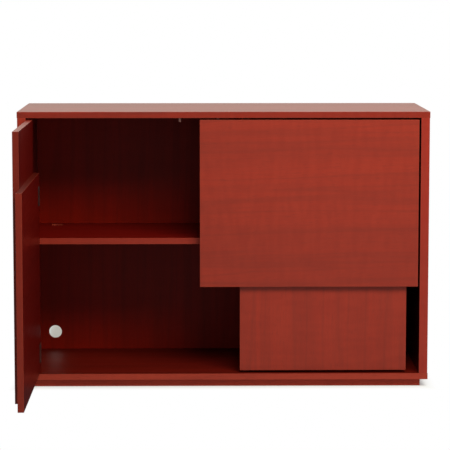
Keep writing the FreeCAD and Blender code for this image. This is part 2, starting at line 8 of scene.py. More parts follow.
import bpy
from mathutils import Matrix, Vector

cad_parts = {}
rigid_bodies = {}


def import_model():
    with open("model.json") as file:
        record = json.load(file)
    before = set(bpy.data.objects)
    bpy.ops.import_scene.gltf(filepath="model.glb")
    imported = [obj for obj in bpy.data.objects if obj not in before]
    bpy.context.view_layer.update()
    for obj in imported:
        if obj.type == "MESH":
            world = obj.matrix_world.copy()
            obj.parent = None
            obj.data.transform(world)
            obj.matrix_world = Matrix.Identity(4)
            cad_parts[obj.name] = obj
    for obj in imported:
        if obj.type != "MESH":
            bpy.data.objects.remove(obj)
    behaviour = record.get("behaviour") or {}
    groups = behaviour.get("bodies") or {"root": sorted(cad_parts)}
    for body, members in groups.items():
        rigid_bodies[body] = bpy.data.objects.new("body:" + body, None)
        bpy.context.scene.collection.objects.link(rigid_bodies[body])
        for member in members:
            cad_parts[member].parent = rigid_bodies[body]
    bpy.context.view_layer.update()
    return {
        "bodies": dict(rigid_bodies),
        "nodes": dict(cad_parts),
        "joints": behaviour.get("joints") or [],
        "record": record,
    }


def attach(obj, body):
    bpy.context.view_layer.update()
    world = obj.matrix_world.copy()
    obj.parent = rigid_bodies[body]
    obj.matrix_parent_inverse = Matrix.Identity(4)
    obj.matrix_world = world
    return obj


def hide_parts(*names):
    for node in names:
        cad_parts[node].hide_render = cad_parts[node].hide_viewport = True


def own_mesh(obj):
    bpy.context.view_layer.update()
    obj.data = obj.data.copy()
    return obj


log = logging.getLogger("sideboard")

MM = 0.001
WHITE = "#FFFFFF"

# A face looks along an axis where its normal's share along that axis is over this.
FACING_SHARE = 0.7

# A noise swings to both sides of this value.
NOISE_MIDDLE = 0.5

# Each board's leaf is cut this much further along the flitch than the last, in metres.
FLITCH_STEP = (0.37, 0.53, 0.71)

# The stain took a shade deeper on the doors than on the case. The plinth's red carries painted
# light: it is made paler than the case, so that in the case's shade it looks as red as the rest.
LEFT_DOOR_STAIN = "#902B19"
RIGHT_DOOR_STAIN = "#8B2A19"
PLINTH_PAINTED_LIGHT_RED = "#C44027"
# Painted shade for the doors' inner faces.
DOOR_INSIDE_SHADE = "#A5595A"


def linear(hex_colour: str) -> tuple[float, float, float, float]:
    """Turns an sRGB hex colour into the linear colour of a shader socket, by the sRGB standard's curve.

    Args:
        hex_colour: six hex digits, with or without a leading hash.

    Returns:
        Linear red, green and blue from 0 to 1, and an alpha of 1.
    """
    digits = hex_colour.lstrip("#")
    shares = [int(digits[i:i + 2], 16) / 255 for i in (0, 2, 4)]
    red, green, blue = [c / 12.92 if c <= 0.04045 else ((c + 0.055) / 1.055) ** 2.4 for c in shares]
    return (red, green, blue, 1.0)


def add_node(tree: bpy.types.NodeTree, kind: str, inputs: dict[str | int, object] | None = None,
             **settings: object) -> bpy.types.Node:
    """Adds one node with its settings, its constant inputs and its links.

    A Mix node's inputs share their names, so they go by number: 0 is the share, 2 and 3 are
    the numbers that it mixes, 4 and 5 the vectors, and 6 and 7 the colours.

    Args:
        tree: the node tree that the node goes into.
        kind: the node's type name without its ShaderNode prefix.
        inputs: for each input, by name or number, a constant or the socket it is linked from.
        settings: the node's own properties.

    Returns:
        The new node.
    """
    node = tree.nodes.new("ShaderNode" + kind)
    for name, value in settings.items():
        setattr(node, name, value)
    for name, value in (inputs or {}).items():
        if isinstance(value, bpy.types.NodeSocket):
            tree.links.new(value, node.inputs[name])
        else:
            node.inputs[name].default_value = value
    return node


def new_material(name: str) -> tuple[bpy.types.Material, bpy.types.NodeTree]:
    """Makes an empty node material.

    Args:
        name: the material's name.

    Returns:
        The material and its cleared node tree.
    """
    material = bpy.data.materials.new(name)
    material.use_nodes = True
    material.node_tree.nodes.clear()
    return material, material.node_tree


class Axis(Enum):
    """A direction of the row frame, as a unit vector."""

    ACROSS = (1.0, 0.0, 0.0)
    DEEP = (0.0, 1.0, 0.0)
    UPRIGHT = (0.0, 0.0, 1.0)

    def squeeze(self, share: float) -> Vector:
        """Scales that squeeze this direction to a share and leave the other two alone."""
        return Vector([share if part else 1.0 for part in self.value])

    def others(self) -> Vector:
        """One along each of the other two directions."""
        return Vector([0.0 if part else 1.0 for part in self.value])


class Inner(Enum):
    """Which faces of a board lie inside the case: a direction, and whether the opposite face does too."""

    NONE = ((0.0, 0.0, 0.0), False)
    TOP = ((0.0, 0.0, 1.0), False)
    UNDERSIDE = ((0.0, 0.0, -1.0), False)
    RIGHT = ((1.0, 0.0, 0.0), False)
    LEFT = ((-1.0, 0.0, 0.0), False)
    FRONT = ((0.0, -1.0, 0.0), False)
    REAR = ((0.0, 1.0, 0.0), False)
    BOTH_LEVEL = ((0.0, 0.0, 1.0), True)
    BOTH_UPRIGHT = ((1.0, 0.0, 0.0), True)


@dataclass(frozen=True)
class Figure:
    """One layer of a veneer's figure: a noise drawn out along the grain, and how strongly it shows.

    Its marks lie a spacing apart across the grain. A stretch under 1 draws them out along the
    grain, and one over 1 draws them out across it. The noise shows nothing at bare and the
    whole shade at full. A folded noise makes thin lines where it crosses its middle. A straight
    one doesn't follow the wandering grain.
    """

    spacing: float
    stretch: float
    detail: float
    bare: float
    full: float
    shade: float
    roughness: float = 0.5
    soft: bool = False
    folded: bool = False
    straight: bool = False


@dataclass(frozen=True)
class StainedVeneer:
    """Cherry veneer, sliced near the quarter, stained red and sprayed with semi-gloss lacquer.

    The stain sinks deeper into the porous late wood, so the growth lines show as darker and
    browner streaks, with a faint ripple across them. The lacquer lies over it smooth and gives
    a soft, wide highlight. Faces inside the case are darkened with painted shade. The lippings
    on the edges are darkened partly by a deeper stain than the faces and partly with painted
    shade. Lines, fibres and pores are drawn several times as coarse as in real cherry, so that
    they show in the picture.
    """

    name: str
    grain: Axis
    band: Axis
    inner: Inner = Inner.NONE
    body: str = "#962C1A"
    deep: str = "#6C261B"
    bright: str = "#A83B24"
    sanded: str = "#B4543A"
    # Colour of the darkened lippings: partly a deeper edge stain, partly painted shade.
    edge_stain_and_shade: str = "#4A140C"
    # Multiplied into the faces inside the case as painted shade.
    inside_shade_tint: str = "#BC696A"
    shaded_lippings: tuple[tuple[Axis, float], ...] = ()
    tone: Figure = Figure(160 * MM, 0.2, 3.0, 0.3, 0.7, 0.2, roughness=0.55)
    ripple: Figure = Figure(72 * MM, 4.0, 1.0, 0.35, 0.65, 0.13, straight=True)
    bands: Figure = Figure(70 * MM, 0.05, 1.0, 0.42, 0.66, 0.2, soft=True)
    lines: Figure = Figure(55 * MM, 0.018, 2.0, 0.05, 0.005, 0.27, roughness=0.6, folded=True)
    fibre: Figure = Figure(4 * MM, 0.03, 2.0, 0.3, 0.7, 0.2, roughness=0.6)
    pores: Figure = Figure(1.6 * MM, 0.08, 0.0, 0.62, 0.74, 0.3)
    wander_spacing: float = 210 * MM
    wander_stretch: float = 0.6
    wander_detail: float = 1.0
    wander_size: float = 14 * MM
    slope: float = 0.018
    shift: tuple[float, float, float] = (0.0, 0.0, 0.0)
    flat_facing: float = 0.99
    arris_facing: float = 0.85
    arris_shade: float = 0.35
    bump_height: float = 0.1 * MM
    bump_strength: float = 0.12
    roughness: float = 0.42
    roughness_spread: float = 0.03
    specular: float = 0.3
    coat: float = 0.5
    coat_roughness: float = 0.35
    ior: float = 1.5

    def material(self) -> bpy.types.Material:
        """Builds the veneer's material.

        Returns:
            The material, drawn in the row frame's metres.
        """
        material, tree = new_material(self.name)
        place = add_node(tree, "TexCoord")
        on_band = self.faces_along(tree, place, self.grain)
        bent = self.bent(tree, place, on_band)
        stains = ((self.tone, self.deep), (self.ripple, self.bright), (self.bands, self.deep),
                  (self.lines, self.deep), (self.fibre, self.deep), (self.pores, self.deep))
        marks = {}
        colour = linear(self.body)
        for figure, stain in stains:
            point = place.outputs["Object"] if figure.straight else bent
            marks[figure] = self.marked(tree, point, on_band, figure)
            colour = self.stained(tree, colour, linear(stain), marks[figure], figure.shade)
        # The lippings are darkened partly by a deeper edge stain and partly with painted shade.
        for axis, shade in self.shaded_lippings:
            on_shaded_lipping = self.faces_along(tree, place, axis)
            colour = self.stained(tree, colour, linear(self.edge_stain_and_shade), on_shaded_lipping, shade)
        # Painted shade on the faces that lie inside the case.
        colour = self.shaded_inside(tree, place, colour)
        eased = self.eased_edges(tree, place)
        colour = self.stained(tree, colour, linear(self.sanded), eased, self.arris_shade)

        height = add_node(tree, "Math", {0: marks[self.fibre], 1: marks[self.pores]}, operation="ADD")
        bump = add_node(tree, "Bump", {"Height": height.outputs[0], "Strength": self.bump_strength,
                                       "Distance": self.bump_height}, invert=True)
        worn = add_node(tree, "MapRange", {"Value": marks[self.fibre],
                                           "To Min": self.roughness - self.roughness_spread,
                                           "To Max": self.roughness + self.roughness_spread})
        shader = add_node(tree, "BsdfPrincipled", {
            "Base Color": colour, "Roughness": worn.outputs[0], "Specular IOR Level": self.specular,
            "IOR": self.ior, "Coat Weight": self.coat, "Coat Roughness": self.coat_roughness,
            "Coat IOR": self.ior, "Normal": bump.outputs[0]})
        add_node(tree, "OutputMaterial", {"Surface": shader.outputs[0]})
        return material

    @staticmethod
    def faces_along(tree: bpy.types.NodeTree, place: bpy.types.Node, axis: Axis) -> bpy.types.NodeSocket:
        """Finds the two faces of a board that look along an axis.

        Args:
            tree: the material's node tree.
            place: the texture coordinate node.
            axis: the axis.

        Returns:
            A socket that is 1 on those faces and 0 elsewhere.
        """
        towards = add_node(tree, "VectorMath", {0: place.outputs["Normal"], 1: axis.value},
                           operation="DOT_PRODUCT")
        size = add_node(tree, "Math", {0: towards.outputs["Value"]}, operation="ABSOLUTE")
        return add_node(tree, "Math", {0: size.outputs[0], 1: FACING_SHARE},
                        operation="GREATER_THAN").outputs[0]

    def squeezed(self, tree: bpy.types.NodeTree, point: bpy.types.NodeSocket, on_band: bpy.types.NodeSocket,
                 share: float) -> bpy.types.NodeSocket:
        """Squeezes a point along the grain, or along the edge band's grain on an end face.

        Args:
            tree: the material's node tree.
            point: the point to squeeze.
            on_band: a socket that is 1 on an end face and 0 elsewhere.
            share: how much of the length along the grain is left.

        Returns:
            The squeezed point.
        """
        scales = add_node(tree, "Mix", {0: on_band, 4: self.grain.squeeze(share),
                                        5: self.band.squeeze(share)}, data_type="VECTOR")
        moved = add_node(tree, "VectorMath", {0: point, 1: self.shift}, operation="ADD")
        return add_node(tree, "VectorMath", {0: moved.outputs[0], 1: scales.outputs[1]},
                        operation="MULTIPLY").outputs[0]

    def bent(self, tree: bpy.types.NodeTree, place: bpy.types.Node,
             on_band: bpy.types.NodeSocket) -> bpy.types.NodeSocket:
        """Lets the grain wander from side to side, and leans it a little, as a sliced leaf lies.

        Args:
            tree: the material's node tree.
            place: the texture coordinate node.
            on_band: a socket that is 1 on an end face and 0 elsewhere.

        Returns:
            The place in the board, moved as the grain is.
        """
        spread = self.squeezed(tree, place.outputs["Object"], on_band, self.wander_stretch)
        wander = add_node(tree, "TexNoise", {"Vector": spread, "Scale": 1 / self.wander_spacing,
                                             "Detail": self.wander_detail})
        push = add_node(tree, "VectorMath", {0: wander.outputs["Color"], 1: (NOISE_MIDDLE,) * 3},
                        operation="SUBTRACT")
        pushed = add_node(tree, "VectorMath", {0: push.outputs[0], "Scale": self.wander_size},
                          operation="SCALE")
        point = add_node(tree, "VectorMath", {0: place.outputs["Object"], 1: pushed.outputs[0]},
                         operation="ADD")
        along = add_node(tree, "VectorMath", {0: point.outputs[0], 1: self.grain.value},
                         operation="DOT_PRODUCT")
        lean = add_node(tree, "Math", {0: along.outputs["Value"], 1: -self.slope}, operation="MULTIPLY")
        offset = add_node(tree, "VectorMath", {0: self.grain.others(), "Scale": lean.outputs[0]},
                          operation="SCALE")
        return add_node(tree, "VectorMath", {0: point.outputs[0], 1: offset.outputs[0]},
                        operation="ADD").outputs[0]

    def marked(self, tree: bpy.types.NodeTree, point: bpy.types.NodeSocket, on_band: bpy.types.NodeSocket,
               figure: Figure) -> bpy.types.NodeSocket:
        """Draws one layer of the figure.

        Args:
            tree: the material's node tree.
            point: the place in the board.
            on_band: a socket that is 1 on an end face and 0 elsewhere.
            figure: the layer.

        Returns:
            How much of the layer shows, from 0 to 1.
        """
        noise = add_node(tree, "TexNoise", {
            "Vector": self.squeezed(tree, point, on_band, figure.stretch), "Scale": 1 / figure.spacing,
            "Detail": figure.detail, "Roughness": figure.roughness})
        if figure.folded:
            noise = add_node(tree, "Math", {0: noise.outputs[0], 1: NOISE_MIDDLE}, operation="SUBTRACT")
            noise = add_node(tree, "Math", {0: noise.outputs[0]}, operation="ABSOLUTE")
        return add_node(tree, "MapRange", {"Value": noise.outputs[0], "From Min": figure.bare,
                                           "From Max": figure.full},
                        interpolation_type="SMOOTHSTEP" if figure.soft else "LINEAR").outputs[0]

    def shaded_inside(self, tree: bpy.types.NodeTree, place: bpy.types.Node,
                     colour: bpy.types.NodeSocket) -> bpy.types.NodeSocket:
        """Deepens the colour on the faces that lie inside the case.

        Args:
            tree: the material's node tree.
            place: the texture coordinate node.
            colour: the veneer's colour.

        Returns:
            The colour, with the painted shade there.
        """
        direction, both = self.inner.value
        turned = add_node(tree, "VectorMath", {0: place.outputs["Normal"], 1: direction},
                          operation="DOT_PRODUCT").outputs["Value"]
        if both:
            turned = add_node(tree, "Math", {0: turned}, operation="ABSOLUTE").outputs[0]
        inside = add_node(tree, "Math", {0: turned, 1: FACING_SHARE}, operation="GREATER_THAN")
        painted_shade = add_node(tree, "Mix", {0: 1.0, 6: colour, 7: linear(self.inside_shade_tint)}, data_type="RGBA",
                            blend_type="MULTIPLY")
        return add_node(tree, "Mix", {0: inside.outputs[0], 6: colour, 7: painted_shade.outputs[2]},
                        data_type="RGBA").outputs[2]

    def eased_edges(self, tree: bpy.types.NodeTree, place: bpy.types.Node) -> bpy.types.NodeSocket:
        """Finds the eased edges, where sanding has thinned the stain.

        Args:
            tree: the material's node tree.
            place: the texture coordinate node.

        Returns:
            A socket that is 1 on a rounded edge and 0 on a flat face.
        """
        size = add_node(tree, "VectorMath", {0: place.outputs["Normal"]}, operation="ABSOLUTE")
        parts = add_node(tree, "SeparateXYZ", {0: size.outputs[0]})
        largest = add_node(tree, "Math", {0: parts.outputs[0], 1: parts.outputs[1]}, operation="MAXIMUM")
        largest = add_node(tree, "Math", {0: largest.outputs[0], 1: parts.outputs[2]}, operation="MAXIMUM")
        return add_node(tree, "MapRange", {"Value": largest.outputs[0], "From Min": self.flat_facing,
                                           "From Max": self.arris_facing}).outputs[0]

    @staticmethod
    def stained(tree: bpy.types.NodeTree, under: tuple | bpy.types.NodeSocket, stain: tuple,
                mask: bpy.types.NodeSocket, most: float) -> bpy.types.NodeSocket:
        """Lets a stain show over the colour below where a mask says.

        Args:
            tree: the material's node tree.
            under: the colour below.
            stain: the stain's colour.
            mask: where the stain lies, from 0 to 1.
            most: how much of it shows where the mask is 1.

        Returns:
            The stained colour.
        """
        amount = add_node(tree, "Math", {0: mask, 1: most}, operation="MULTIPLY")
        return add_node(tree, "Mix", {0: amount.outputs[0], 6: under, 7: stain},
                        data_type="RGBA").outputs[2]


@dataclass(frozen=True)
class SandedBeech:
    """Beech, turned or sawn and left unfinished: pale, matt, with short darker flecks along the grain.

    The flecks are the wood's rays, and are drawn as wide as real ones.
    """

    name: str
    grain: Axis
    body: str = "#C9A27A"
    fleck: str = "#A5774C"
    fleck_width: float = 1 * MM
    fleck_detail: float = 2.0
    fleck_stretch: float = 0.25
    fleck_bare: float = 0.5
    fleck_full: float = 0.7
    fleck_shade: float = 0.8
    bump_height: float = 0.1 * MM
    bump_strength: float = 0.2
    roughness: float = 0.6
    ior: float = 1.5

    def material(self) -> bpy.types.Material:
        """Builds the beech's material.

        Returns:
            The material.
        """
        material, tree = new_material(self.name)
        place = add_node(tree, "TexCoord")
        drawn_out = add_node(tree, "VectorMath", {0: place.outputs["Object"],
                                                  1: self.grain.squeeze(self.fleck_stretch)},
                             operation="MULTIPLY")
        flecks = add_node(tree, "TexNoise", {"Vector": drawn_out.outputs[0], "Scale": 1 / self.fleck_width,
                                             "Detail": self.fleck_detail})
        shown = add_node(tree, "MapRange", {"Value": flecks.outputs[0], "From Min": self.fleck_bare,
                                            "From Max": self.fleck_full, "To Max": self.fleck_shade})
        colour = add_node(tree, "Mix", {0: shown.outputs[0], 6: linear(self.body), 7: linear(self.fleck)},
                          data_type="RGBA")
        bump = add_node(tree, "Bump", {"Height": flecks.outputs[0], "Strength": self.bump_strength,
                                       "Distance": self.bump_height})
        shader = add_node(tree, "BsdfPrincipled", {
            "Base Color": colour.outputs[2], "Roughness": self.roughness, "IOR": self.ior,
            "Normal": bump.outputs[0]})
        add_node(tree, "OutputMaterial", {"Surface": shader.outputs[0]})
        return material


@dataclass(frozen=True)
class PlatedSteel:
    """Pressed or turned steel, barrel plated: an even satin metal with faint tumbling marks.

    The marks are drawn several times as wide as real ones, so that they show.
    """

    name: str
    body: str
    shade: str
    roughness: float
    roughness_spread: float = 0.06
    mark_size: float = 0.8 * MM
    mark_detail: float = 3.0
    mark_low: float = 0.35
    mark_high: float = 0.65
    bump_height: float = 0.05 * MM
    bump_strength: float = 0.05

    def material(self) -> bpy.types.Material:
        """Builds the plated metal's material.

        Returns:
            The material.
        """
        material, tree = new_material(self.name)
        place = add_node(tree, "TexCoord")
        marks = add_node(tree, "TexNoise", {"Vector": place.outputs["Object"], "Scale": 1 / self.mark_size,
                                            "Detail": self.mark_detail})
        dull = add_node(tree, "MapRange", {"Value": marks.outputs[0], "From Min": self.mark_low,
                                           "From Max": self.mark_high,
                                           "To Min": self.roughness - self.roughness_spread,
                                           "To Max": self.roughness + self.roughness_spread})
        colour = add_node(tree, "Mix", {0: marks.outputs[0], 6: linear(self.body), 7: linear(self.shade)},
                          data_type="RGBA")
        bump = add_node(tree, "Bump", {"Height": marks.outputs[0], "Strength": self.bump_strength,
                                       "Distance": self.bump_height})
        shader = add_node(tree, "BsdfPrincipled", {"Base Color": colour.outputs[2], "Metallic": 1.0,
                                                   "Roughness": dull.outputs[0], "Normal": bump.outputs[0]})
        add_node(tree, "OutputMaterial", {"Surface": shader.outputs[0]})
        return material


@dataclass(frozen=True)
class MouldedAcetal:
    """Acetal, injection moulded: a dense plastic, softly matt from the mould's eroded surface.

    That surface's grit is drawn several times as coarse as the real one, so that it shows.
    """

    name: str
    body: str
    shade: str
    grit: float = 0.5 * MM
    grit_detail: float = 1.0
    bump_height: float = 0.05 * MM
    bump_strength: float = 0.15
    roughness: float = 0.45
    ior: float = 1.48

    def material(self) -> bpy.types.Material:
        """Builds the plastic's material.

        Returns:
            The material.
        """
        material, tree = new_material(self.name)
        place = add_node(tree, "TexCoord")
        grit = add_node(tree, "TexNoise", {"Vector": place.outputs["Object"], "Scale": 1 / self.grit,
                                           "Detail": self.grit_detail})
        colour = add_node(tree, "Mix", {0: grit.outputs[0], 6: linear(self.body), 7: linear(self.shade)},
                          data_type="RGBA")
        bump = add_node(tree, "Bump", {"Height": grit.outputs[0], "Strength": self.bump_strength,
                                       "Distance": self.bump_height})
        shader = add_node(tree, "BsdfPrincipled", {
            "Base Color": colour.outputs[2], "Roughness": self.roughness, "IOR": self.ior,
            "Normal": bump.outputs[0]})
        add_node(tree, "OutputMaterial", {"Surface": shader.outputs[0]})
        return material


@dataclass
class Finishes:
    """The finishes that several sub-assemblies share.

    Nickel gives the hinges a dull, warm grey shine, and zinc gives the screws a cooler one. The
    latch cases are dark brown and sink into the veneer behind them, and their plungers are a
    paler tan that stands out.
    """

    turned_beech: bpy.types.Material = field(init=False)
    nickel: bpy.types.Material = field(init=False)
    zinc: bpy.types.Material = field(init=False)
    brown_acetal: bpy.types.Material = field(init=False)
    tan_acetal: bpy.types.Material = field(init=False)

    def __post_init__(self) -> None:
        """Builds the materials."""
        self.turned_beech = SandedBeech("turned_beech", Axis.UPRIGHT).material()
        self.nickel = PlatedSteel("nickel_plated_steel", "#D2CCC2", "#B8B2A8", roughness=0.55).material()
        self.zinc = PlatedSteel("zinc_plated_steel", "#BCC0C4", "#A2A7AC", roughness=0.45).material()
        self.brown_acetal = MouldedAcetal("brown_moulded_acetal", "#4E2E22", "#40251B").material()
        self.tan_acetal = MouldedAcetal("tan_moulded_acetal", "#986559", "#8A5A4E").material()


def dress(frame: dict, node: str, material: bpy.types.Material) -> None:
    """Gives a carried-over node its finish.

    Args:
        node: the node's name.
        material: the finish.
    """
    piece = frame["nodes"][node]
    piece.data.materials.clear()
    piece.data.materials.append(material)
    log.info("%s is dressed in %s", node, material.name)


@dataclass(frozen=True)
class Board:
    """One veneered board: how its grain and edge band run, which faces are inside, and its lacquer.

    The lacquer was sprayed on the outer faces, so boards that show mostly their inner faces
    have a thinner coat. Each shaded lipping is the axis that it looks along, and how dark it is,
    partly from a deeper edge stain and partly from painted shade. The inside tint is painted
    shade on the faces inside the case.
    """

    node: str
    grain: Axis
    band: Axis
    inner: Inner = Inner.NONE
    shaded_lippings: tuple[tuple[Axis, float], ...] = ()
    body: str = StainedVeneer.body
    inside_shade_tint: str = StainedVeneer.inside_shade_tint
    coat: float = StainedVeneer.coat
    specular: float = StainedVeneer.specular
    roughness: float = StainedVeneer.roughness

    def dress(self, frame: dict, number: int) -> None:
        """Veneers the board, from a stretch of its own along the flitch.

        Args:
            number: the board's number, which sets where its leaf was cut.
        """
        shift = tuple(step * number for step in FLITCH_STEP)
        veneer = StainedVeneer("cherry_veneer_" + self.node, self.grain, self.band, self.inner,
                               shaded_lippings=self.shaded_lippings, shift=shift, body=self.body,
                               inside_shade_tint=self.inside_shade_tint, coat=self.coat, specular=self.specular,
                               roughness=self.roughness)
        dress(frame, self.node, veneer.material())


@dataclass
class Carcass:
    """The fixed case: top, bottom, sides, divider, back and shelves.

    Its boards take their leaves along the flitch in turn, from first_leaf on. The plinth and
    the doors do so too, each from a leaf further along.
    """

    first_leaf: int = 0
    # The inside tints are painted shade on the faces inside the case. The right side's is the darkest, where
    # the gap beside the right door shows only shadow, and the back panel's is the lightest.
    boards: tuple[Board, ...] = (
        # The top's front edge is darkened with painted shade, as it stands nearer the lamp than the faces
        # below; the shelves' front edges are darkened partly by a deeper edge stain and partly with painted
        # shade.
        Board("top_board", Axis.ACROSS, Axis.DEEP, Inner.UNDERSIDE, ((Axis.DEEP, 0.3),), body="#96240C"),
        Board("bottom_board", Axis.ACROSS, Axis.DEEP, Inner.TOP, body="#963422", inside_shade_tint="#AC7870",
              coat=0.02, specular=0.16, roughness=0.5),
        Board("left_side", Axis.UPRIGHT, Axis.DEEP, Inner.RIGHT, body="#96260E"),
        Board("right_side", Axis.UPRIGHT, Axis.DEEP, Inner.LEFT, body="#98220D", inside_shade_tint="#6E3434"),
        Board("divider", Axis.UPRIGHT, Axis.DEEP, Inner.BOTH_UPRIGHT),
        Board("back_panel", Axis.UPRIGHT, Axis.ACROSS, Inner.FRONT, inside_shade_tint="#E48C62", coat=0.02,
              specular=0.1),
        Board("left_shelf", Axis.ACROSS, Axis.DEEP, Inner.BOTH_LEVEL, ((Axis.DEEP, 0.2),), coat=0.1,
              specular=0.2),
        Board("right_shelf", Axis.ACROSS, Axis.DEEP, Inner.BOTH_LEVEL, ((Axis.DEEP, 0.2),), coat=0.1,
              specular=0.2))

    def dress(self, frame: dict, finishes: Finishes) -> None:
        """Gives each board of the case its veneer, and its pins and dowels their own finish.

        Args:
            finishes: the shared finishes.
        """
        for number, board in enumerate(self.boards, self.first_leaf):
            board.dress(frame, number)
        dress(frame, "shelf_pins", finishes.nickel)
        dress(frame, "carcass_dowels", finishes.turned_beech)


@dataclass
class Plinth:
    """The set-back frame that the case stands on."""

    first_leaf: int = 10
    rails: tuple[tuple[str, Axis], ...] = (("front", Axis.ACROSS), ("back", Axis.ACROSS), ("left", Axis.DEEP),
                                           ("right", Axis.DEEP), ("middle", Axis.DEEP))
    coat: float = 0.1
    specular: float = 0.15

    def dress(self, frame: dict, finishes: Finishes) -> None:
        """Gives the rails, blocks and screws of the plinth their finish.

        Args:
            finishes: the shared finishes.
        """
        for number, (place, grain) in enumerate(self.rails, self.first_leaf):
            # The rails' paler red is painted light, lifting them out of the case's shade.
            rail = Board(f"plinth_{place}_rail", grain, Axis.UPRIGHT, body=PLINTH_PAINTED_LIGHT_RED, coat=self.coat,
                         specular=self.specular)
            rail.dress(frame, number)
        dress(frame, "plinth_corner_blocks", finishes.turned_beech)
        dress(frame, "plinth_screws", finishes.zinc)


@dataclass
class Doors:
    """Both doors: two boards face to face on each, with their dowels."""

    first_leaf: int = 20
    # The left door's edges are darkened partly by a deeper edge stain and partly with painted shade; the rear
    # board's top edge is painted shadow. All door boards' inner faces take a painted shade.
    boards: tuple[Board, ...] = (
        Board("right_door_upper_board", Axis.ACROSS, Axis.UPRIGHT, Inner.REAR, body=RIGHT_DOOR_STAIN,
              inside_shade_tint=DOOR_INSIDE_SHADE, coat=0.15, specular=0.25),
        Board("right_door_lower_board", Axis.UPRIGHT, Axis.ACROSS, Inner.REAR, body=RIGHT_DOOR_STAIN,
              inside_shade_tint=DOOR_INSIDE_SHADE, coat=0.15, specular=0.25),
        Board("left_door_front_board", Axis.UPRIGHT, Axis.DEEP, Inner.RIGHT, ((Axis.DEEP, 0.62),),
              body=LEFT_DOOR_STAIN, inside_shade_tint=DOOR_INSIDE_SHADE, coat=0.1, specular=0.2, roughness=0.33),
        Board("left_door_rear_board", Axis.DEEP, Axis.UPRIGHT, Inner.RIGHT,
              ((Axis.DEEP, 0.48), (Axis.UPRIGHT, 0.85)), body=LEFT_DOOR_STAIN, inside_shade_tint=DOOR_INSIDE_SHADE,
              coat=0.1, specular=0.2, roughness=0.33))

    def dress(self, frame: dict, finishes: Finishes) -> None:
        """Gives each door board its veneer, with the grain running as it does on that board.

        Args:
            finishes: the shared finishes.
        """
        for number, board in enumerate(self.boards, self.first_leaf):
            board.dress(frame, number)
        dress(frame, "left_door_dowels", finishes.turned_beech)
        dress(frame, "right_door_dowels", finishes.turned_beech)


@dataclass
class LatchSpring:
    """A touch latch's spring, which shortens as its plunger is pressed home."""

    side: str

    def build(self, frame: dict, material: bpy.types.Material) -> None:
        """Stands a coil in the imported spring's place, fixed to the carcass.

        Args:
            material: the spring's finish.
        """
        node = f"{self.side}_latch_spring"
        packed = frame["nodes"][node]
        coil = bpy.data.objects.new(f"{self.side}_latch_coil", packed.data.copy())
        coil.matrix_world = packed.matrix_world
        coil.data.materials.clear()
        coil.data.materials.append(material)
        bpy.context.scene.collection.objects.link(coil)
        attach(coil, "carcass")
        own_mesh(coil)
        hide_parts(node)


@dataclass
class Hardware:
    """The hinges and the touch latches."""

    sides: tuple[str, ...] = ("left", "right")

    def dress(self, frame: dict, finishes: Finishes) -> None:
        """Gives the hinge and latch pieces their plating or plastic.

        Args:
            finishes: the shared finishes.
        """
        for side in self.sides:
            for part in ("cups", "pins", "arms", "plates"):
                dress(frame, f"{side}_hinge_{part}", finishes.nickel)
            for part in ("cup_screws", "plate_screws", "arm_screws"):
                dress(frame, f"{side}_hinge_{part}", finishes.zinc)
            dress(frame, f"{side}_latch_case", finishes.brown_acetal)
            dress(frame, f"{side}_latch_plunger", finishes.tan_acetal)
            LatchSpring(side).build(frame, finishes.zinc)
        dress(frame, "latch_screws", finishes.zinc)


